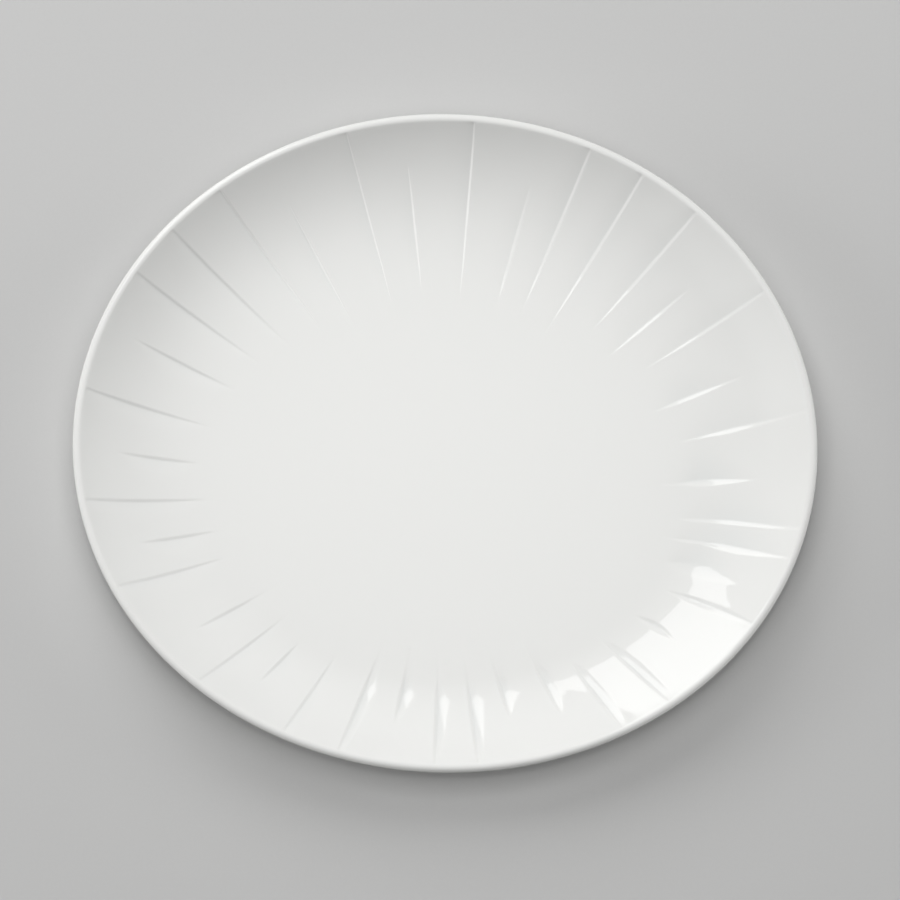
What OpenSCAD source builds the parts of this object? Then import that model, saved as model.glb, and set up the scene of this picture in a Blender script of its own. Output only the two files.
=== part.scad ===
// Oval coupe plate in glazed porcelain: a shallow well set towards the front, a wall that
// curves up without a break to a rounded lip, and flutes cut by a wheel into the wall.
// X runs along the plate, Y from front to back, Z up. The origin is on the table, under
// the middle of the rim. All sizes are in millimetres.

/* [Plate] */
// Length of the plate across the rim, glaze included
plate_length = 270; // [220:1:320]
// Width of the plate across the rim, from front to back, glaze included
plate_width = 240; // [200:1:280]
// Height of the top of the lip above the table
plate_height = 24; // [21:0.5:30]
// Thickness of the rounded lip and of the wall behind it, glaze included
lip_thickness = 3.8; // [3:0.1:5]

/* [Well] */
// Length of the flat floor
floor_length = 160; // [140:1:180]
// How far the middle of the floor lies in front of the middle of the rim
well_shift = 9; // [0:0.5:11]
// Thickness of the clay under the floor
floor_thickness = 5; // [4:0.1:6]

/* [Foot] */
// Depth of the hollow inside the foot ring
foot_height = 3; // [2:0.1:4]
// Thickness of the foot ring
foot_width = 5; // [3:0.1:8]
// How far the foot ring stands out past the floor above it
foot_reach = 2; // [0:0.1:5]
// Height of the band on the foot that is wiped clean of glaze
dry_band = 1; // [0.5:0.1:1.5]
// Rounding of the edges that the foot ring stands on
foot_edge = 0.7; // [0.3:0.1:1]
// Rounding in the corner between the foot ring and the wall
foot_fillet = 1.6; // [1:0.1:2.5]

/* [Glaze] */
// Thickness of the glaze
glaze_thickness = 0.3; // [0.2:0.05:0.5]

/* [Flutes] */
// Depth of a flute at its middle
flute_depth = 0.6; // [0.3:0.05:0.9]
// Width of the steep side of a flute
steep_side = 1; // [0.8:0.1:2]
// Width of the broad side of a flute
broad_side = 3.4; // [2:0.1:5]
// How far the point that the flutes run to lies in front of the middle of the rim
flute_shift = 17.5; // [8:0.5:20]
// Part of the way down the wall at which a long flute starts
long_start = 0.06; // [0.04:0.01:0.2]
// Part of the way down the wall at which a short flute starts
short_start = 0.33; // [0.2:0.01:0.5]
// Directions of the long flutes, in degrees from the right end of the plate towards the back
long_flutes = [87.5, 69, 60, 50, 34, 14.5, -4, -9, -21.5, -41, -51, -80.5, -89.5, -109.5, -121,
    -139.5, -161, -176, 166.5, 147, 138.5, 129, 107.5];
// Directions of the short flutes
short_flutes = [76.5, 42, 23.5, 4.5, -14.5, -30.5, -60, -71.5, -99.5, -131.5, -148.5, -168, 175.5,
    156, 120.5, 98.5];

/* [Hidden] */
$fn = 160;

// Plan of the rim, as a true oval: a round section squeezed from front to back
rim_radius = plate_length / 2;
squeeze = plate_width / plate_length;
floor_radius = floor_length / 2;

// Heights: hollow under the floor, top of the clay floor, middle of the lip
base_z = foot_height;
floor_z = base_z + floor_thickness;
lip_radius = lip_thickness / 2 - glaze_thickness;
lip_z = plate_height - lip_thickness / 2;
lip_at = rim_radius - lip_thickness / 2;

// The wall is an arc that leaves the floor level and meets the lip without a corner
wall_rise = lip_z - floor_z;
wall_run = lip_at - floor_radius;
wall_radius = (wall_run ^ 2 + wall_rise ^ 2 - lip_radius ^ 2) / (2 * (wall_rise + lip_radius));
wall_middle_z = floor_z + wall_radius;
outer_radius = wall_radius + 2 * lip_radius;

// The whole plate leans, so that the floor ends up in front of the middle of the rim
lean = well_shift / wall_rise;

// The foot ring, and the middle of the rounding between its outside and the wall
foot_radius = floor_radius + foot_reach;
fillet_at = foot_radius + foot_fillet;
fillet_reach = outer_radius + foot_fillet;
fillet_z = wall_middle_z - sqrt(fillet_reach ^ 2 - (fillet_at - floor_radius) ^ 2);

// How far a coat reaches into the clay that is then taken out of it
margin = 1;

// Height above the wall at which the wheel leaves it at the end of a flute
run_out = 0.1;

// The plate is put together from quarters of a turn, and the clay that is taken out of a quarter
// of the coat reaches this many degrees past its ends
quarter = 90;
overlap = 5;

// Half of the round section, with a coat of the given thickness on the wall, lip and floor
module section(coat) {
    translate([floor_radius, wall_middle_z])
        intersection() {
            difference() {
                circle(r = outer_radius + coat);
                circle(r = wall_radius - coat);
            }
            polygon([
                [0, 0],
                [2 * wall_run, -2 * (wall_radius - wall_rise)],
                [2 * wall_run, -2 * wall_radius],
                [0, -2 * wall_radius],
            ]);
        }
    translate([lip_at, lip_z])
        circle(r = lip_radius + coat);
}

// Rounding between the outside of the foot ring and the wall, filled in from the middle of the wall
module foot_corner(coat) {
    inner = (outer_radius - lip_radius) / fillet_reach;
    difference() {
        polygon([
            [foot_radius - lip_radius, fillet_z],
            [fillet_at, fillet_z],
            [
                floor_radius + (fillet_at - floor_radius) * inner,
                wall_middle_z + (fillet_z - wall_middle_z) * inner,
            ],
            [foot_radius - lip_radius, floor_z - lip_radius],
        ]);
        translate([fillet_at, fillet_z])
            circle(r = foot_fillet - coat);
    }
}

// Section of the bare clay, with the floor and the foot ring that it stands on
module clay_section() {
    section(0);
    foot_corner(0);
    translate([0, base_z])
        square([floor_radius, floor_thickness]);
    translate([foot_radius - foot_width, 0]) {
        translate([0, foot_edge])
            square([foot_width, floor_z - lip_radius - foot_edge]);
        translate([foot_edge, 0])
            square([foot_width - 2 * foot_edge, 2 * foot_edge]);
        for (side = [foot_edge, foot_width - foot_edge])
            translate([side, foot_edge])
                circle(r = foot_edge);
    }
}

// Section of the clay with a coat on its face, its lip and the outside of its foot
module coated_section() {
    section(glaze_thickness);
    foot_corner(glaze_thickness);
    translate([0, floor_z - margin])
        square([floor_radius, margin + glaze_thickness]);
    translate([foot_radius - margin, dry_band])
        square([margin + glaze_thickness, floor_z - lip_radius - dry_band]);
}

// Turns a round plate into the oval one, whose floor lies in front of the middle of its rim
module oval() {
    multmatrix([
        [1, 0, 0, 0],
        [0, squeeze, lean, -lean * lip_z],
        [0, 0, 1, 0],
        [0, 0, 0, 1],
    ])
        children();
}

// Place on the round plate that becomes a given place on the oval one
function round_place(p) = [p.x, (p.y - lean * (p.z - lip_z)) / squeeze, p.z];

// Radius of the round section at a height on the wall
function wall_radius_at(z) =
    floor_radius + sqrt(wall_radius ^ 2 - (wall_radius - (z - floor_z)) ^ 2);

// Height on the wall, some part of the way down from the lip
function wall_height(part) = floor_z + wall_rise * (1 - part) ^ 2;

// Distance from the point that the flutes run to out to the wall at a height
function wall_distance(direction, z) =
    let (
        ahead = lean * (lip_z - z) - flute_shift,
        across = cos(direction) ^ 2 + (sin(direction) / squeeze) ^ 2,
        along = sin(direction) * ahead / squeeze ^ 2,
        rest = (ahead / squeeze) ^ 2 - wall_radius_at(z) ^ 2
    )
    (sqrt(along ^ 2 - across * rest) - along) / across;

// Place on the round wall along a flute, some part of the way down
function wall_place(direction, part) =
    let (
        z = wall_height(part),
        distance = wall_distance(direction, z)
    )
    round_place([distance * cos(direction), distance * sin(direction) - flute_shift, z]);

function unit(v) = v / norm(v);

// Direction square to the round wall at a place on it, up and inwards
function wall_normal(p) =
    let (bend_at = floor_radius / norm([p.x, p.y]))
    unit([p.x * bend_at - p.x, p.y * bend_at - p.y, wall_middle_z - p.z]);

// Place in the bottom of a flute, some part of the way down the wall and so deep
function flute_place(direction, part, depth) =
    let (p = wall_place(direction, part))
    p - depth * wall_normal(p);

// Middle of the circle through three places
function circle_middle(p, q, r) =
    let (
        a = p - r,
        b = q - r,
        normal = cross(a, b)
    )
    r + cross((a * a) * b - (b * b) * a, normal) / (2 * normal * normal);

// Rim of the wheel that cuts one flute, from its outer to its inner end, through a coat on the clay
module flute_wheel(direction, start, outer_depth, coat) {
    outer = flute_place(direction, start, outer_depth);
    middle = flute_place(direction, (1 + start) / 2, flute_depth);
    inner = flute_place(direction, 1, -run_out);
    hub = circle_middle(outer, middle, inner);
    wheel = norm(middle - hub);
    ahead = unit(inner - hub);
    axle = unit(cross(inner - hub, outer - hub));
    up = cross(axle, ahead);
    sweep = atan2((outer - hub) * up, (outer - hub) * ahead);

    // The edge of the wheel is dressed to the slant at which the wheel stands on the wall
    normal = wall_normal(wall_place(direction, (1 + start) / 2));
    upright = normal * unit(hub - middle);
    slant = normal * axle / upright;
    tip = wheel - coat / upright;
    edge = 2 * flute_depth;
    multmatrix([
        [ahead.x, up.x, axle.x, hub.x],
        [ahead.y, up.y, axle.y, hub.y],
        [ahead.z, up.z, axle.z, hub.z],
        [0, 0, 0, 1],
    ])
        rotate_extrude(angle = sweep)
            polygon([
                [tip, 0],
                [tip - edge + 2 * steep_side * slant, 2 * steep_side],
                [tip - edge - 2 * broad_side * slant, -2 * broad_side],
            ]);
}

// Those of the flutes that point near enough to a quarter of the plate to cut into it
function near(flutes, turn) =
    let (middle = turn + quarter / 2)
    [for (direction = flutes) if (cos(direction - middle) > cos(2 * quarter / 3)) direction];

// The flutes at one quarter, cut as deep into a coat of the given thickness as into bare clay
module flutes(turn, coat) {
    for (direction = near(long_flutes, turn))
        flute_wheel(direction, long_start, glaze_thickness / 2, coat);
    for (direction = near(short_flutes, turn))
        flute_wheel(direction, short_start, -run_out, coat);
}

// Fired clay body with its foot ring, bare only on the foot
module porcelain_body() {
    color("whitesmoke")
        for (turn = [0:quarter:3 * quarter])
            oval()
                difference() {
                    rotate(turn)
                        rotate_extrude(angle = quarter)
                            clay_section();
                    flutes(turn, 0);
                }
}

// Clear glaze over the eating face, the lip and the outside down to the foot
module face_glaze() {
    color("white")
        for (turn = [0:quarter:3 * quarter])
            oval()
                difference() {
                    difference() {
                        rotate(turn)
                            rotate_extrude(angle = quarter)
                                coated_section();
                        flutes(turn, glaze_thickness);
                    }
                    difference() {
                        rotate(turn - overlap)
                            rotate_extrude(angle = quarter + 2 * overlap)
                                clay_section();
                        flutes(turn, 0);
                    }
                }
}

// Clear glaze in the hollow inside the foot ring
module base_glaze() {
    hollow_radius = foot_radius - foot_width;
    color("white")
        oval()
            difference() {
                translate([0, 0, dry_band])
                    cylinder(r = hollow_radius, h = base_z - dry_band);
                cylinder(r = hollow_radius - glaze_thickness, h = base_z - glaze_thickness);
            }
}

porcelain_body();
face_glaze();
base_glaze();
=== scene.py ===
"""Oval coupe plate in glazed porcelain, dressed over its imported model, with a studio stage."""

import math
from typing import NamedTuple

import bpy
import numpy as np
from bpy.props import FloatProperty, FloatVectorProperty, IntProperty, PointerProperty
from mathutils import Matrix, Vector


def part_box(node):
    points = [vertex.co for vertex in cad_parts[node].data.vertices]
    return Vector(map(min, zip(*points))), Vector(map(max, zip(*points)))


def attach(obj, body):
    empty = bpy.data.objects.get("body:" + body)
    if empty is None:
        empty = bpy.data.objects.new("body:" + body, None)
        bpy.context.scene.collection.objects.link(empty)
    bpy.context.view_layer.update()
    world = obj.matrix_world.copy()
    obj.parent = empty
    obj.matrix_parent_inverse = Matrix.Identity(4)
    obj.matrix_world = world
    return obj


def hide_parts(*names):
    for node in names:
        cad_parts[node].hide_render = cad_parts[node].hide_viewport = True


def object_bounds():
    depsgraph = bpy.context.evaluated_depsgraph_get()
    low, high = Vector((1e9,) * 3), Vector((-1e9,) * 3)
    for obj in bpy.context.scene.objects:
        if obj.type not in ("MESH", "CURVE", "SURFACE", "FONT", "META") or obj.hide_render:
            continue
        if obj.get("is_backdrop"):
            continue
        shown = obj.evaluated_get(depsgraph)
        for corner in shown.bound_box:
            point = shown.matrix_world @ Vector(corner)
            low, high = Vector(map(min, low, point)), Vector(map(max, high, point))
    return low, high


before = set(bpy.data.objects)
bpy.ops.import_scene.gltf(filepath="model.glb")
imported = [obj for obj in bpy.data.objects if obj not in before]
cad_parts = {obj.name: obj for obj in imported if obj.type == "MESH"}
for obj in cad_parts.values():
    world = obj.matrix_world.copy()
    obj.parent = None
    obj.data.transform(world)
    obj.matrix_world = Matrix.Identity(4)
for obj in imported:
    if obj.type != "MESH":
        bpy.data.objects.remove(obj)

bl_info = {
    "name": "Oval Coupe Plate",
    "version": (1, 0, 0),
    "blender": (4, 5, 0),
    "location": "View3D > Sidebar > Plate",
    "description": "Builds a fluted oval porcelain plate and a studio stage for it",
    "category": "Object",
}


class Cut(NamedTuple):
    """How a kind of flute is cut.

    The depth is in metres. The slopes are those of the steep side, which lies clockwise of the
    bottom seen from above, and of the broad side. A scoop of 0 leaves a side straight, and 1
    makes it round. The flute is deepest at the part of its length that middle gives."""

    depth: float
    steep: float
    broad: float
    steep_scoop: float
    broad_scoop: float
    middle: float


CUTS = {
    "back": Cut(0.00036, 0.33, 0.06, 0.0, 0.0, 0.5),
    "painted_highlight": Cut(0.0004, 0.58, 0.06, 0.0, 0.0, 0.5),
    "right": Cut(0.00044, 0.28, 0.05, 0.0, 0.0, 0.64),
    "deep": Cut(0.00064, 0.25, 0.05, 0.1, 0.0, 0.62),
    "wide": Cut(0.0006, 0.11, 0.05, 0.0, 0.0, 0.6),
    "pane": Cut(0.0005, 0.24, 0.36, 0.0, 0.5, 0.55),
    "front": Cut(0.00054, 0.38, 0.155, 0.0, 0.85, 0.6),
    "left": Cut(0.0004, 0.38, 0.09, 0.0, 0.0, 0.5),
}

# Flutes, listed one by one: direction in degrees, counted from the right end towards the back,
# then the parts of the way down the wall at which the flute starts and ends, then its cut.
FLUTES = (
    (87.5, 0.0, 1.0, "painted_highlight"), (76.5, 0.26, 1.0, "back"), (69, 0.0, 1.02, "back"),
    (60, 0.0, 1.06, "back"), (50, 0.0, 0.94, "back"), (42, 0.33, 1.0, "back"),
    (34, 0.0, 0.9, "back"), (23.5, 0.3, 1.0, "right"), (14.5, 0.0, 0.94, "right"),
    (4.5, 0.34, 1.02, "deep"), (-4, 0.0, 0.97, "deep"), (-9, 0.0, 1.0, "deep"),
    (-15.2, 0.28, 0.98, "wide"), (-21.5, 0.0, 0.84, "pane"), (-30.5, 0.46, 0.9, "pane"),
    (-41, 0.0, 0.92, "front"), (-51, 0.0, 0.88, "front"), (-60, 0.36, 1.05, "front"),
    (-71.5, 0.48, 1.05, "front"), (-80.5, 0.0, 1.05, "front"), (-89.5, 0.0, 1.04, "front"),
    (-99.5, 0.4, 1.08, "front"), (-109.5, 0.0, 1.1, "front"), (-121, 0.0, 1.03, "left"),
    (-131.5, 0.34, 0.96, "left"), (-139.5, 0.0, 1.1, "left"), (-148.5, 0.35, 1.08, "left"),
    (-161, 0.0, 1.02, "left"), (-168, 0.31, 1.02, "left"), (-176, 0.0, 1.02, "left"),
    (175.5, 0.26, 0.92, "left"), (166.5, 0.0, 0.94, "left"), (156, 0.18, 0.96, "left"),
    (147, 0.0, 0.96, "left"), (138.5, 0.0, 1.0, "left"), (129, 0.0, 1.02, "painted_highlight"),
    (120.5, 0.22, 1.04, "painted_highlight"), (107.5, 0.0, 1.02, "painted_highlight"), (98.5, 0.18, 0.94, "painted_highlight"),
)

# How the flutes run out: the part of its length at which a flute from the lip begins, the power
# of the sine that its depth follows, how far scooped sides keep their width towards the ends, how
# softly a straight broad side runs out, how fast the depth and the painted highlight fade in from
# the ends, how far the painted highlight reaches over the steep side, and the least width of a
# side in metres.
FROM_LIP = 0.16
LENS_POWER = 0.9
SCOOP_KEEPS = 0.6
BROAD_FLOW = 0.35
DEPTH_FADE = 6
PAINTED_HIGHLIGHT_FADE = 3
PAINTED_HIGHLIGHT_REACH = 1.6
LEAST_WIDTH = 1e-5

# Columns of the face round each flute, in degrees from its direction, with more of them at the
# edge of a scooped broad side, and the gaps between columns that are filled or closed.
NEAR_COLUMNS = (
    -1.3, -1.0, -0.82, -0.68, -0.56, -0.46, -0.37, -0.28, -0.2, -0.12, -0.04, 0.04, 0.12, 0.2,
    0.28, 0.37, 0.46, 0.56, 0.68, 0.85, 1.1, 1.5, 2.0, 2.6,
)
EDGE_COLUMNS = (1.25, 1.4, 1.62, 1.75, 1.87, 2.15, 2.3)
WIDEST_GAP = 1.4
FILLED_GAP = 1.3
LEAST_GAP = 0.1

# Rows of the sections: parts of the way out over the floor or the hollow, the power by which the
# wall's rows crowd towards the lip, points along the curves, columns and wall rows of the body,
# and how many rows of the face's outer side one row of its inner side takes up.
FLOOR_ROWS = (0.0, 0.45, 0.75, 0.92)
HOLLOW_ROWS = (0.0, 0.4, 0.75, 0.93)
WALL_CROWDING = 0.85
LIP_POINTS = 17
OUTSIDE_POINTS = 13
FILLET_POINTS = 6
FOOT_POINTS = 5
CORNER_POINTS = 7
BODY_COLUMNS = 241
BODY_WALL_ROWS = 16
COAT_ROW_STEP = 4

# Details of the sections, in metres: how far the rim stays inside the box of the solids, the
# fillet at the foot and the height of its upper end, how deep under the surface the inner side
# of the coat and the clay lie, how far the unglazed foot goes on up under the glaze, the dressed
# edges of the foot, the rounding in the hollow's corner, and the depth of a flute at which the
# glaze counts as pooled.
RIM_GAP = 2e-5
FILLET = 0.0016
FILLET_TOP = 0.0046
COAT_DEPTH = 0.0009
CLAY_DEPTH = 0.001
FOOT_OVERLAP = 0.001
FOOT_EDGE = 0.0007
CORNER = 0.0012
POOL_DEPTH = 0.0006

# Part of the glaze's thickness by which its lower edge is rounded off, and rows of that edge.
GLAZE_EDGE = 0.3
GLAZE_EDGE_ROWS = 3

# Rounds after which the search for a point on an oval and for the wall's slope have settled,
# and the slope that the second one starts from.
OVAL_ROUNDS = 16
SLOPE_ROUNDS = 12
FIRST_SLOPE = 0.6

# Points nearer than this are one point when seams and poles are joined, and a shorter step than
# the second value counts as that long, in metres.
SAME_PLACE = 2e-7
LEAST_LENGTH = 1e-9

# Turning rings under the lip: waves in radians per metre, and where they fade, in metres.
RING_WAVES = 7000.0
RING_FADE = (0.0005, 0.0045)

# How much pools and clouds tell in the tone of the glaze, how much clouds, fine peel, pits and
# rings tell in its relief, and how wide a pit is in cells of its pattern.
POOL_TONE = 0.45
CLOUD_TONE = 0.3
CLOUD_RELIEF = 0.7
FINE_RELIEF = 0.12
PIT_RELIEF = 0.1
RING_RELIEF = 0.25
PIT_WIDTH = 0.06

# Least roughness of the glaze and of the clay, and what clouds and grain add to it.
GLAZE_ROUGHNESS = 0.012
CLOUD_ROUGHNESS = 0.014
CLAY_ROUGHNESS = 0.78
GRAIN_ROUGHNESS = 0.18

# How much patches and grain tell in the tone of the clay, and the sums between which it goes from
# greyed to clean.
PATCH_TONE = 0.8
GRAIN_TONE = 0.4
CLEAN_FROM_TO = (0.4, 1.0)

# Tones of the greyed clay and of the mottle in the studio paper, as parts of the full tone.
GREYED = 0.82
MOTTLED = 0.97


class Light(NamedTuple):
    """A flat studio light: bearing from the right end and angle from straight above in degrees,
    distance, width and height in metres, and radiance."""

    name: str
    bearing: float
    zenith: float
    far: float
    wide: float
    tall: float
    radiance: float


SOFTBOX = Light("softbox", 124.5, 56.0, 1.5, 0.64, 1.87, 2.1)
FILLS = (
    Light("back_panel", 104.0, 50.0, 1.6, 1.1, 1.1, 2.6),
    Light("top_panel", 90.0, 2.0, 1.5, 0.9, 0.9, 2.85),
    Light("left_panel", 172.0, 70.0, 1.6, 0.8, 0.7, 3.7),
    Light("right_panel", 12.0, 70.0, 1.6, 0.8, 0.7, 2.7),
)

# The card is twice as wide and as high as these values, because its plane is 2 m before scaling.
CARD = Light("reflector_card", 206.0, 63.0, 1.5, 0.85, 0.9, 0.8)
CARD_PLANE = 2.0

# The spot over the well: place in metres, cone in degrees, power in watts, size of the lamp in
# metres, and how much longer than wide its oval of light is.
SPOT_PLACE = (0.0, -0.017, 1.5)
SPOT_CONE = 11.0
SPOT_POWER = 11.2
SPOT_SIZE = 0.05
SPOT_STRETCH = 1.4

WORLD_STRENGTH = 0.06
GROUND_SIZE = 8.0

# How the photo was taken: turn of the plate and height of the camera as angles, the width of
# the picture and the middle of the rim in pixels, metres in a pixel at the rim, and the lens.
TURN = math.radians(2.38)
TILT = math.radians(84.0)
PICTURE = 900
RIM_PIXEL = (445.28, 441.11)
PIXEL = 0.00036234
FOCAL_LENGTH = 200.0
SENSOR_WIDTH = 36.0
RIM_BELOW_TOP = 0.0019

UP = Vector((0.0, 0.0, 1.0))


class PlateSizes(bpy.types.PropertyGroup):
    """Sizes of the plate, in metres where nothing else is said."""

    width: FloatProperty(
        name="Width", description="Width of the rim from front to back", default=0.24,
        unit="LENGTH",
    )
    egg: FloatProperty(
        name="Egg", description="How much blunter the front is than the back", default=0.015,
    )
    lip: FloatProperty(
        name="Lip", description="Thickness of the rounded lip", default=0.0038, unit="LENGTH",
    )
    floor_length: FloatProperty(
        name="Floor length", description="Length of the floor", default=0.172, unit="LENGTH",
    )
    floor_width: FloatProperty(
        name="Floor width", description="Width of the floor", default=0.139, unit="LENGTH",
    )
    floor_shift: FloatProperty(
        name="Floor shift", description="How far the floor lies in front of the middle",
        default=0.0165, unit="LENGTH",
    )
    floor_height: FloatProperty(
        name="Floor height", description="Height of the floor above the table", default=0.0083,
        unit="LENGTH",
    )
    wall_bend: FloatProperty(
        name="Wall bend", description="Power by which the wall curves up", default=2.6,
    )
    back_bend: FloatProperty(
        name="Back bend", description="How much more the wall bends at the back", default=0.65,
    )
    side_bend: FloatProperty(
        name="Side bend", description="How much more the wall bends at the left end", default=0.25,
    )
    foot_length: FloatProperty(
        name="Foot length", description="Length across the foot ring", default=0.1646,
        unit="LENGTH",
    )
    foot_width: FloatProperty(
        name="Foot width", description="Width across the foot ring", default=0.1463,
        unit="LENGTH",
    )
    foot_shift: FloatProperty(
        name="Foot shift", description="How far the foot lies in front of the middle",
        default=0.0141, unit="LENGTH",
    )
    foot_ring: FloatProperty(
        name="Foot ring", description="Thickness of the foot ring", default=0.005, unit="LENGTH",
    )
    hollow: FloatProperty(
        name="Hollow", description="Depth of the hollow in the foot", default=0.003, unit="LENGTH",
    )
    dry_band: FloatProperty(
        name="Dry band", description="Height of the unglazed band", default=0.001, unit="LENGTH",
    )
    glaze: FloatProperty(
        name="Glaze", description="Thickness of the glaze", default=0.0003, unit="LENGTH",
    )
    flute_shift: FloatProperty(
        name="Flute shift",
        description="How far the point that the flutes run to lies in front of the middle",
        default=0.0175, unit="LENGTH",
    )
    flow: FloatProperty(
        name="Flow", description="How far the glaze flows over the edges of a flute",
        default=0.00005, unit="LENGTH",
    )
    wall_rows: IntProperty(name="Wall rows", description="Rows of faces down the wall", default=46)


class PlateFinish(bpy.types.PropertyGroup):
    """Colours of the glaze, its painted highlight, the unglazed clay and the studio floor."""

    glaze: FloatVectorProperty(
        name="Glaze", description="White of the glazed porcelain", subtype="COLOR",
        default=(0.83, 0.832, 0.815),
    )
    # A lighter tone painted as a highlight on the steep side of the far flutes.
    painted_highlight: FloatVectorProperty(
        name="Painted highlight", description="Lighter tone painted as a highlight on the steep sides of the far flutes", subtype="COLOR",
        default=(0.93, 0.93, 0.915),
    )
    pooled: FloatVectorProperty(
        name="Pooled glaze", description="Tone where the glaze lies thick", subtype="COLOR",
        default=(0.74, 0.76, 0.75),
    )
    clay: FloatVectorProperty(
        name="Bare clay", description="Tone of the unglazed foot", subtype="COLOR",
        default=(0.72, 0.69, 0.63),
    )
    ground: FloatVectorProperty(
        name="Floor", description="Tone of the studio floor", subtype="COLOR",
        default=(0.6, 0.6, 0.595),
    )


def smooth(t):
    """A soft step from 0 to 1 as t goes from 0 to 1."""
    t = np.clip(t, 0.0, 1.0)
    return t * t * (3 - 2 * t)


def quarter(points):
    """Points along a quarter turn, as what the sine and the cosine there lack to 1."""
    turns = np.linspace(0, math.pi / 2, points)
    return [(1 - math.sin(turn), 1 - math.cos(turn)) for turn in turns]


def reach(directions, start, half_x, half_y, shift, egg=0.0):
    """Distance from the point start in front of the middle out to an oval, in each direction."""
    out = np.full_like(directions, half_x)
    for _ in range(OVAL_ROUNDS):
        x = out * np.cos(directions)
        y = out * np.sin(directions) - start + shift
        out = out / np.hypot(x / (half_x * (1 - egg * y / half_y)), y / half_y)
    return out


def foot_reach(size, directions):
    """Distance out to the glazed outside of the foot ring, in each direction."""
    return reach(
        directions, size.flute_shift, size.foot_length / 2, size.foot_width / 2, size.foot_shift
    )


def section(size, directions, rows):
    """Outer surface of the glaze as distances and heights, from the floor's middle to the foot.

    Rows run down the section and columns round the plate. The third array gives how far down
    the wall each row lies, and is negative off the wall."""
    low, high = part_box("face_glaze")
    half_length = (high[0] - low[0]) / 2 - RIM_GAP
    start = size.flute_shift
    rim = reach(directions, start, half_length, size.width / 2, 0.0, size.egg)
    floor = reach(directions, start, size.floor_length / 2, size.floor_width / 2, size.floor_shift)
    foot = foot_reach(size, directions)
    ball = size.lip / 2
    lip_at, lip_z = rim - ball, high[2] - ball
    wall_bend = size.wall_bend + size.back_bend * np.sin(directions)
    wall_bend = wall_bend - size.side_bend * np.cos(directions) * (1 + np.sin(directions))
    slope = np.full_like(rim, FIRST_SLOPE)
    for _ in range(SLOPE_ROUNDS):
        end = lip_at - ball * np.sin(slope)
        top = lip_z + ball * np.cos(slope)
        slope = np.arctan(wall_bend * (top - size.floor_height) / (end - floor))
    distance, height, down = [], [], []

    def add(r, z, part=-1.0):
        distance.append(r)
        height.append(z + np.zeros_like(rim))
        down.append(part)

    for part in FLOOR_ROWS:
        add(floor * part, size.floor_height)
    for part in 1.0 - np.linspace(0, 1, rows) ** WALL_CROWDING:
        lift = (top - size.floor_height) * (1 - part) ** wall_bend
        add(end - (end - floor) * part, size.floor_height + lift, part)
    for turn in np.linspace(0, math.pi, LIP_POINTS)[1:]:
        add(lip_at - ball * np.sin(slope - turn), lip_z + ball * np.cos(slope - turn))
    out_at, out_z = distance[-1], height[-1]
    run, drop = out_at - foot - FILLET, out_z - FILLET_TOP
    bend = np.tan(slope) * run / drop
    for part in np.linspace(0, 1, OUTSIDE_POINTS)[1:]:
        add(out_at - run * part, FILLET_TOP + drop * (1 - part) ** bend)
    for sine, cosine in quarter(FILLET_POINTS)[1:]:
        add(foot + FILLET * sine, FILLET_TOP - FILLET * cosine)
    add(foot, size.dry_band + size.glaze)
    add(foot - size.glaze * GLAZE_EDGE, size.dry_band + size.glaze * GLAZE_EDGE)
    add(foot - size.glaze, size.dry_band)
    return np.array(distance), np.array(height), np.array(down)


def outward(distance, height):
    """Outward direction of a section, from the rows before and after each row."""
    along, up = np.gradient(distance, axis=0), np.gradient(height, axis=0)
    length = np.maximum(np.hypot(along, up), LEAST_LENGTH)
    return -up / length, along / length


def rise(share, scoop):
    """Rise of a flute's side from its bottom to its edge, straight for 0 and round for 1."""
    return (1 - scoop) * share + scoop * np.maximum(share, 0.0) ** 2


def side_width(depth, lens, slope, scoop):
    """Width of a flute's side along the flute."""
    return np.maximum(depth * lens ** (1 - SCOOP_KEEPS * scoop) / slope, LEAST_WIDTH)


def flute_depths(size, directions, distance, down):
    """Depth of the flutes at every place of a section, and the share of painted highlight on them.
    """
    depth, painted_highlight = np.zeros_like(distance), np.zeros_like(distance)
    part = down[:, None]
    for bearing, start, end, kind in FLUTES:
        cut = CUTS[kind]
        away = directions - math.radians(bearing)
        if start == 0.0:
            along = FROM_LIP + (1 - FROM_LIP) * part / end
        else:
            along = (part - start) / (end - start)
        inside = (along > 0) & (along < 1) & (part >= 0) & (np.cos(away) > 0)
        turned = np.clip(along, 0.0, 1.0) ** (math.log(0.5) / math.log(cut.middle))
        lens = np.sin(math.pi * turned) ** LENS_POWER
        bottom = cut.depth * lens
        steep_width = side_width(cut.depth, lens, cut.steep, cut.steep_scoop)
        broad_width = side_width(cut.depth, lens, cut.broad, cut.broad_scoop)
        across = distance * np.sin(away) - steep_width / 2
        near = bottom * (1 - rise(-across / steep_width, cut.steep_scoop))
        near = (near + np.hypot(near, size.flow)) / 2
        far = bottom * (1 - rise(across / broad_width, cut.broad_scoop))
        far = (far + np.hypot(far, bottom * BROAD_FLOW * (1 - cut.broad_scoop))) / 2
        groove = (near + far - np.hypot(near - far, size.flow)) / 2
        depth = np.maximum(depth, np.where(inside, groove * smooth(lens * DEPTH_FADE), 0.0))
        # On these flutes a lighter tone is painted on the steep side, as a highlight.
        if kind == "painted_highlight":
            off = np.abs(2 * across / steep_width + 1)
            painted_highlight_share = smooth(PAINTED_HIGHLIGHT_REACH - off) * smooth(lens * PAINTED_HIGHLIGHT_FADE)
            painted_highlight = np.maximum(painted_highlight, np.where(inside, painted_highlight_share, 0.0))
    return depth, painted_highlight


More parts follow.
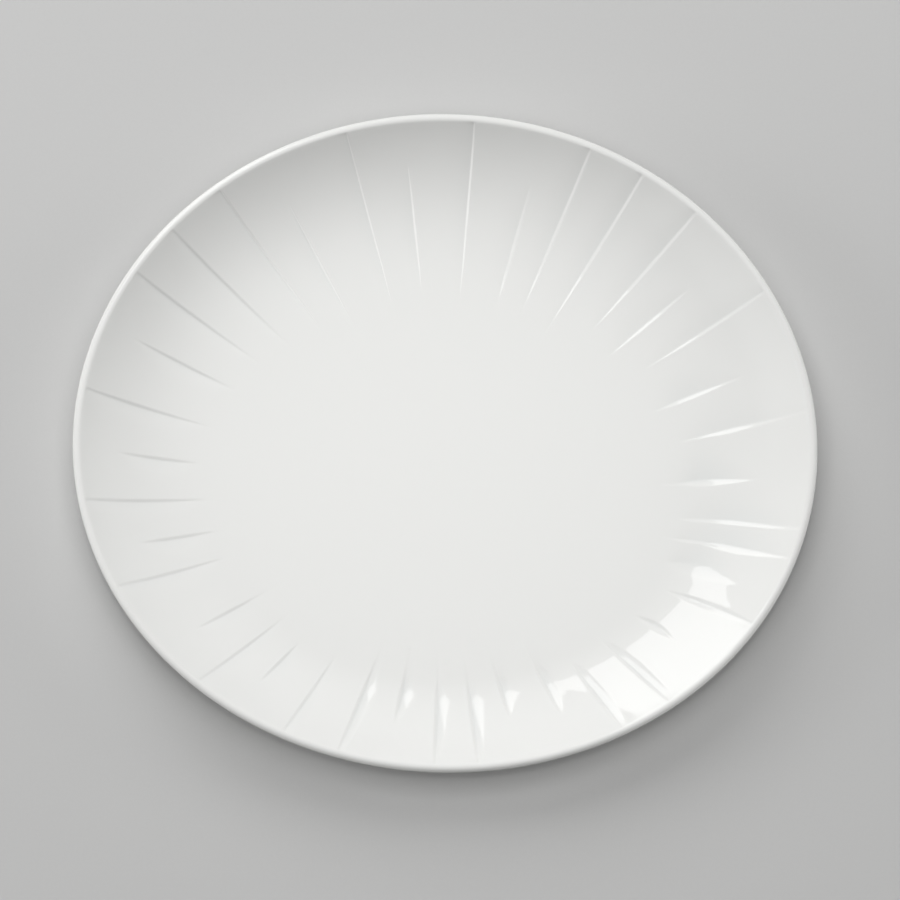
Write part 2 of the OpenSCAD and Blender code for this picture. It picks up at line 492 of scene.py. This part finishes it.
def columns():
    """Directions of the face's columns: close together at every flute, wider between flutes."""
    near, edge = np.array(NEAR_COLUMNS), np.array(EDGE_COLUMNS)
    close = [bearing + near for bearing, _, _, _ in FLUTES]
    close += [bearing + edge for bearing, _, _, kind in FLUTES if CUTS[kind].broad_scoop > 0]
    close = np.sort(np.concatenate(close))
    kept = [close[0]]
    for angle in np.append(close[1:], close[0] + 360):
        gap = angle - kept[-1]
        if gap > WIDEST_GAP:
            steps = math.ceil(gap / FILLED_GAP)
            kept += [kept[-1] + gap * k / steps for k in range(1, steps)]
        if gap > LEAST_GAP:
            kept.append(angle)
    kept[-1] = close[0] + 360
    return np.radians(kept)


def stacked(rows):
    """Distances and heights of rows that are level all round, as two arrays."""
    distance = np.array([r for r, _ in rows])
    height = np.array([z + np.zeros_like(r) for r, z in rows])
    return distance, height


def clear_selection():
    """Leaves nothing selected."""
    for chosen in bpy.context.selected_objects:
        chosen.select_set(False)


def skin(name, directions, distance, height, shift):
    """Mesh through rows of distances and heights, not yet joined at its seam and middle."""
    clear_selection()
    rows, across = distance.shape
    bpy.ops.mesh.primitive_grid_add(x_subdivisions=across - 1, y_subdivisions=rows - 1, size=2)
    piece = bpy.context.object
    piece.name = piece.data.name = name
    place = np.stack(
        [distance * np.cos(directions), distance * np.sin(directions) - shift, height], axis=-1
    )
    piece.data.vertices.foreach_set("co", place.reshape(-1).astype(np.float32))
    piece.data.update()
    return piece


def add_shares(piece, name, values, rest):
    """Stores a value at the points of a piece, and rest at the points after those given."""
    shares = np.full(len(piece.data.vertices), rest, np.float32)
    shares[: values.size] = values.reshape(-1)
    piece.data.attributes.new(name, "FLOAT", "POINT").data.foreach_set("value", shares)


def close_up(piece):
    """Joins the seam and the poles, turns the faces outward and shades them smoothly."""
    clear_selection()
    piece.select_set(True)
    bpy.context.view_layer.objects.active = piece
    bpy.ops.object.mode_set(mode="EDIT")
    bpy.ops.mesh.select_all(action="SELECT")
    bpy.ops.mesh.remove_doubles(threshold=SAME_PLACE)
    bpy.ops.mesh.select_all(action="SELECT")
    bpy.ops.mesh.normals_make_consistent(inside=False)
    bpy.ops.object.mode_set(mode="OBJECT")
    bpy.ops.object.shade_smooth()


class Term:
    """A shader value, so that node maths reads as plain arithmetic."""

    def __init__(self, tree, socket):
        self.tree, self.socket = tree, socket

    def node(self, kind, output=0, settings=(), **inputs):
        """Adds a node, sets it up, feeds its inputs and gives one of its outputs."""
        made = self.tree.nodes.new(kind)
        for key, value in settings:
            setattr(made, key, value)
        for key, value in inputs.items():
            self.feed(made.inputs[key.replace("_", " ")], value)
        return Term(self.tree, made.outputs[output])

    def feed(self, socket, value):
        """Links a value to a socket, or sets a plain one on it."""
        if isinstance(value, Term):
            self.tree.links.new(value.socket, socket)
        else:
            socket.default_value = value

    def noise(self, scale, detail):
        """Noise at this place."""
        return self.node("ShaderNodeTexNoise", Vector=self, Scale=scale, Detail=detail)

    def stored(self, name):
        """A value that is stored at the points of the mesh."""
        return self.node("ShaderNodeAttribute", "Fac", (("attribute_name", name),))

    def bump(self, strength, distance):
        """Normals for this value taken as a relief."""
        return self.node("ShaderNodeBump", Strength=strength, Distance=distance, Height=self)

    def maths(self, operation, first, second):
        """A Math node on two values."""
        made = self.tree.nodes.new("ShaderNodeMath")
        made.operation = operation
        self.feed(made.inputs[0], first)
        self.feed(made.inputs[1], second)
        return Term(self.tree, made.outputs[0])

    def blend(self, first, second):
        """A colour between two others, with this value as the share of the second."""
        made = self.tree.nodes.new("ShaderNodeMix")
        made.data_type = "RGBA"
        self.feed(made.inputs["Factor"], self)
        self.feed(made.inputs[6], first)
        self.feed(made.inputs[7], second)
        return Term(self.tree, made.outputs[2])

    def step(self, low, high):
        """A soft step from 0 at low to 1 at high."""
        settings = (("interpolation_type", "SMOOTHSTEP"),)
        return self.node(
            "ShaderNodeMapRange", 0, settings, Value=self, From_Min=low, From_Max=high
        )

    def sine(self):
        """The sine of this value, in radians."""
        return self.maths("SINE", self, 0.0)

    def __add__(self, other):
        return self.maths("ADD", self, other)

    def __radd__(self, other):
        return self.maths("ADD", other, self)

    def __sub__(self, other):
        return self.maths("SUBTRACT", self, other)

    def __rsub__(self, other):
        return self.maths("SUBTRACT", other, self)

    def __mul__(self, other):
        return self.maths("MULTIPLY", self, other)

    def __rmul__(self, other):
        return self.maths("MULTIPLY", other, self)

    def __truediv__(self, other):
        return self.maths("DIVIDE", self, other)

    def __rtruediv__(self, other):
        return self.maths("DIVIDE", other, self)


def material(name):
    """A new material, its Principled shader, and the object coordinates to shade it by."""
    made = bpy.data.materials.new(name)
    made.use_nodes = True
    tree = made.node_tree
    shader = tree.nodes["Principled BSDF"]
    coordinates = tree.nodes.new("ShaderNodeTexCoord")
    return made, shader, Term(tree, coordinates.outputs["Object"])


def rgba(colour, tone=1.0):
    """An opaque colour for a socket, darker for a tone under 1."""
    return (*(part * tone for part in colour), 1.0)


def glaze_material(finish):
    """White gloss glaze: faint clouding, a cooler tone where it pools, a painted highlight and a
    soft orange peel.
    """
    made, shader, place = material("white_gloss_glaze")
    cloud = place.noise(scale=38.0, detail=3.0)
    fine = place.noise(scale=420.0, detail=2.0)
    pits = place.node("ShaderNodeTexVoronoi", Vector=place, Scale=190.0)
    pooled = place.stored("pooling_and_painted_highlight")
    thick = (pooled * POOL_TONE + (cloud - 0.5) * CLOUD_TONE).step(0.0, 1.0)
    # Below zero the stored value paints a lighter tone: a painted highlight.
    white = (0 - pooled).step(0.0, 1.0)
    tone = thick.blend(rgba(finish.glaze), rgba(finish.pooled))
    place.feed(shader.inputs["Base Color"], white.blend(tone, rgba(finish.painted_highlight)))
    place.feed(shader.inputs["Roughness"], GLAZE_ROUGHNESS + cloud * CLOUD_ROUGHNESS)
    run = place.stored("rim_run")
    rings = (run * RING_WAVES).sine() * (1 - run.step(*RING_FADE))
    peel = cloud * CLOUD_RELIEF + fine * FINE_RELIEF
    peel = peel + pits.step(0.0, PIT_WIDTH) * PIT_RELIEF + rings * RING_RELIEF
    place.feed(shader.inputs["Normal"], peel.bump(strength=0.035, distance=0.001))
    shader.inputs["IOR"].default_value = 1.5
    return made


def clay_material(finish):
    """Bare fired clay: matt and fine grained, a little greyed where it rubs on the shelf."""
    made, shader, place = material("bare_fired_clay")
    grain = place.noise(scale=1500.0, detail=4.0)
    patch = place.noise(scale=70.0, detail=3.0)
    clean = (patch * PATCH_TONE + grain * GRAIN_TONE).step(*CLEAN_FROM_TO)
    tone = clean.blend(rgba(finish.clay, GREYED), rgba(finish.clay))
    place.feed(shader.inputs["Base Color"], tone)
    place.feed(shader.inputs["Roughness"], CLAY_ROUGHNESS + grain * GRAIN_ROUGHNESS)
    place.feed(shader.inputs["Normal"], grain.bump(strength=0.35, distance=0.0003))
    return made


def paper_material(finish):
    """Pale studio paper with a very faint mottle."""
    made, shader, place = material("studio_paper")
    mottle = place.noise(scale=900.0, detail=2.0)
    tone = mottle.blend(rgba(finish.ground), rgba(finish.ground, MOTTLED))
    place.feed(shader.inputs["Base Color"], tone)
    shader.inputs["Roughness"].default_value = 0.9
    return made


def card_material(strength):
    """A card that glows in the middle and fades to black at its edges."""
    made, shader, place = material("soft_white_card")
    black, white = rgba((0, 0, 0)), rgba((1, 1, 1))
    x = place.node("ShaderNodeSeparateXYZ", "X", Vector=place)
    y = place.node("ShaderNodeSeparateXYZ", "Y", Vector=place)
    glow = (1 - x * x).step(0.0, 1.0) * (1 - y * y).step(0.0, 1.0)
    place.feed(shader.inputs["Emission Color"], glow.blend(black, white))
    shader.inputs["Emission Strength"].default_value = strength
    shader.inputs["Base Color"].default_value = black
    return made


def dress(piece, made, node):
    """Gives a piece its material, ties it to the body, and hides the part that it stands for."""
    piece.data.materials.clear()
    piece.data.materials.append(made)
    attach(piece, "root")
    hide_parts(node)


class PLATE_OT_face(bpy.types.Operator):
    """Build the glazed face: floor, fluted wall, lip and outside."""

    bl_idname = "plate.face"
    bl_label = "Glazed Face"

    def execute(self, context):
        size = context.scene.plate_sizes
        directions = columns()
        distance, height, down = section(size, directions, size.wall_rows)
        side, up = outward(distance, height)
        depth, painted_highlight = flute_depths(size, directions, distance, down)
        inner = np.append(np.arange(len(down) - 2, len(FLOOR_ROWS), -COAT_ROW_STEP), 0)
        full = np.concatenate([distance - depth * side, (distance - COAT_DEPTH * side)[inner]])
        lift = np.concatenate([height - depth * up, (height - COAT_DEPTH * up)[inner]])
        full[-1] = 0.0
        piece = skin("glazed_face", directions, full, lift, size.flute_shift)
        # Stores how deep the glaze pools, and below zero where the painted highlight goes.
        add_shares(piece, "pooling_and_painted_highlight", depth / POOL_DEPTH * (1 - painted_highlight) - painted_highlight, 0.0)
        lip_row = np.argmax(down == 0.0)
        run = np.hypot(distance - distance[lip_row], height - height[lip_row])
        add_shares(piece, "rim_run", np.where(down[:, None] >= 0, run, 1.0), 1.0)
        close_up(piece)
        dress(piece, glaze_material(context.scene.plate_finish), "face_glaze")
        return {"FINISHED"}


class PLATE_OT_body(bpy.types.Operator):
    """Build the clay body with its unglazed foot ring."""

    bl_idname = "plate.body"
    bl_label = "Clay Body"

    def execute(self, context):
        size = context.scene.plate_sizes
        directions = np.linspace(0, 2 * math.pi, BODY_COLUMNS)
        distance, height, down = section(size, directions, BODY_WALL_ROWS)
        side, up = outward(distance, height)
        last = len(down) - GLAZE_EDGE_ROWS
        distance = (distance - CLAY_DEPTH * side)[:last]
        height = (height - CLAY_DEPTH * up)[:last]
        distance[0] = 0.0
        foot = foot_reach(size, directions) - size.glaze
        inside = foot - size.foot_ring
        rows = [(foot, size.dry_band + FOOT_OVERLAP), (foot, size.dry_band), (foot, FOOT_EDGE)]
        for sine, cosine in quarter(FOOT_POINTS)[1:]:
            rows.append((foot - FOOT_EDGE * cosine, FOOT_EDGE * sine))
        for sine, cosine in quarter(FOOT_POINTS):
            rows.append((inside + FOOT_EDGE * sine, FOOT_EDGE * cosine))
        rows += [(inside, size.dry_band), (inside, size.hollow), (inside * 0.5, size.hollow)]
        rows.append((inside * 0.0, size.hollow))
        foot_distance, foot_height = stacked(rows)
        distance = np.concatenate([distance, foot_distance])
        height = np.concatenate([height, foot_height])
        piece = skin("clay_body", directions, distance, height, size.flute_shift)
        close_up(piece)
        dress(piece, clay_material(context.scene.plate_finish), "porcelain_body")
        return {"FINISHED"}


class PLATE_OT_base(bpy.types.Operator):
    """Build the glaze in the hollow inside the foot ring."""

    bl_idname = "plate.base"
    bl_label = "Base Glaze"

    def execute(self, context):
        size = context.scene.plate_sizes
        directions = np.linspace(0, 2 * math.pi, BODY_COLUMNS)
        wall = foot_reach(size, directions) - size.glaze - size.foot_ring
        face = wall - size.glaze
        ceiling = size.hollow - size.glaze
        rows = [(wall * part, ceiling) for part in HOLLOW_ROWS]
        for sine, cosine in quarter(CORNER_POINTS):
            rows.append((face - CORNER * sine, ceiling - CORNER * cosine))
        rows.append((face, size.dry_band + size.glaze))
        rows.append((face + size.glaze * GLAZE_EDGE, size.dry_band))
        rows += [(wall, size.dry_band), (wall, size.hollow), (wall * 0.0, size.hollow)]
        distance, height = stacked(rows)
        piece = skin("base_glaze_coat", directions, distance, height, size.flute_shift)
        close_up(piece)
        made = bpy.data.materials.get("white_gloss_glaze")
        dress(piece, made, "base_glaze")
        return {"FINISHED"}


def level(bearing):
    """Level direction at a bearing in degrees, counted from the plate's right end in the photo."""
    angle = TURN + math.radians(bearing)
    return Vector((math.cos(angle), math.sin(angle), 0.0))


def place_of(light):
    """Place of a studio light round the plate."""
    lean = math.radians(light.zenith)
    return light.far * (level(light.bearing) * math.sin(lean) + UP * math.cos(lean))


def put(scene, name, data):
    """A new lamp or camera in the scene."""
    holder = bpy.data.objects.new(name, data)
    scene.collection.objects.link(holder)
    return holder


def add_plane(name, size, made):
    """A stage plane with a material, which is no piece of the plate."""
    clear_selection()
    bpy.ops.mesh.primitive_plane_add(size=size)
    plane = bpy.context.object
    plane.name = name
    plane.data.materials.append(made)
    plane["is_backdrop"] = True
    return plane


def add_panel(scene, light):
    """A soft rectangular lamp that faces the plate, at 4 watts for a unit of radiance and area."""
    lamp = bpy.data.lights.new(light.name, "AREA")
    lamp.shape = "RECTANGLE"
    lamp.size, lamp.size_y = light.wide, light.tall
    lamp.energy = 4 * light.wide * light.tall * light.radiance
    holder = put(scene, light.name, lamp)
    holder.location = place_of(light)
    holder.rotation_euler = (-holder.location).to_track_quat("-Z", "Y").to_euler()
    return holder


def add_spot(scene):
    """A soft oval of light from straight above the well."""
    lamp = bpy.data.lights.new("well_spot", "SPOT")
    lamp.energy = SPOT_POWER
    lamp.spot_size, lamp.spot_blend = math.radians(SPOT_CONE), 1.0
    lamp.shadow_soft_size = SPOT_SIZE
    holder = put(scene, "well_spot", lamp)
    holder.location = SPOT_PLACE
    holder.scale = (SPOT_STRETCH, 1.0, 1.0)
    return holder


def add_card():
    """A faint card that only the gloss of the glaze shows."""
    card = add_plane(CARD.name, CARD_PLANE, card_material(CARD.radiance))
    card.scale = (CARD.wide, CARD.tall, 1.0)
    card.location = place_of(CARD)
    card.rotation_euler = card.location.to_track_quat("-Z", "Y").to_euler()
    card.visible_diffuse = card.visible_shadow = card.visible_camera = False


def add_world(scene):
    """A faint even light from all sides."""
    world = bpy.data.worlds.new("studio")
    scene.world = world
    world.use_nodes = True
    background = world.node_tree.nodes["Background"]
    background.inputs["Color"].default_value = rgba((1, 1, 1))
    background.inputs["Strength"].default_value = WORLD_STRENGTH


def add_camera(scene):
    """The photo's camera: nearly overhead, with the rim's middle where the photo has it."""
    lens = bpy.data.cameras.new("camera")
    lens.lens, lens.sensor_width = FOCAL_LENGTH, SENSOR_WIDTH
    camera = put(scene, "camera", lens)
    right, back = level(0), level(90)
    view_up = back * math.sin(TILT) + UP * math.cos(TILT)
    away = UP * math.sin(TILT) - back * math.cos(TILT)
    rim = UP * (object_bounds()[1][2] - RIM_BELOW_TOP)
    off_x, off_y = (PICTURE / 2 - pixel for pixel in RIM_PIXEL)
    aim = rim + right * off_x * PIXEL - view_up * off_y * PIXEL
    camera.location = aim + away * PICTURE * PIXEL * FOCAL_LENGTH / SENSOR_WIDTH
    camera.rotation_euler = (math.radians(90) - TILT, 0.0, TURN)
    scene.camera = camera


class PLATE_OT_stage(bpy.types.Operator):
    """Set up the floor, the soft studio light and the camera."""

    bl_idname = "plate.stage"
    bl_label = "Studio Stage"

    def execute(self, context):
        scene = context.scene
        add_plane("studio_floor", GROUND_SIZE, paper_material(scene.plate_finish))
        add_world(scene)
        add_panel(scene, SOFTBOX).visible_diffuse = False
        fills = [add_spot(scene)]
        fills += [add_panel(scene, light) for light in FILLS]
        for lamp in fills:
            lamp.visible_glossy = False
        add_card()
        add_camera(scene)
        scene.view_settings.view_transform = "Standard"
        return {"FINISHED"}


class PLATE_PT_panel(bpy.types.Panel):
    """Sizes and steps of the plate."""

    bl_label = "Oval Coupe Plate"
    bl_idname = "PLATE_PT_panel"
    bl_space_type = "VIEW_3D"
    bl_region_type = "UI"
    bl_category = "Plate"

    def draw(self, context):
        for group in (context.scene.plate_sizes, context.scene.plate_finish):
            for key in group.__annotations__:
                self.layout.prop(group, key)
        for operator in STEPS:
            self.layout.operator(operator.bl_idname)


STEPS = (PLATE_OT_face, PLATE_OT_body, PLATE_OT_base, PLATE_OT_stage)
CLASSES = (PlateSizes, PlateFinish, *STEPS, PLATE_PT_panel)


def register():
    """Makes the sizes, the steps and the panel known."""
    for kind in CLASSES:
        bpy.utils.register_class(kind)
    bpy.types.Scene.plate_sizes = PointerProperty(type=PlateSizes)
    bpy.types.Scene.plate_finish = PointerProperty(type=PlateFinish)


def unregister():
    """Takes everything out again that register put in."""
    del bpy.types.Scene.plate_finish
    del bpy.types.Scene.plate_sizes
    for kind in reversed(CLASSES):
        bpy.utils.unregister_class(kind)


def main():
    """Builds the plate and its stage."""
    register()
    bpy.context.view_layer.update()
    bpy.ops.plate.face()
    bpy.ops.plate.body()
    bpy.ops.plate.base()
    bpy.ops.plate.stage()


if __name__ == "__main__":
    main()
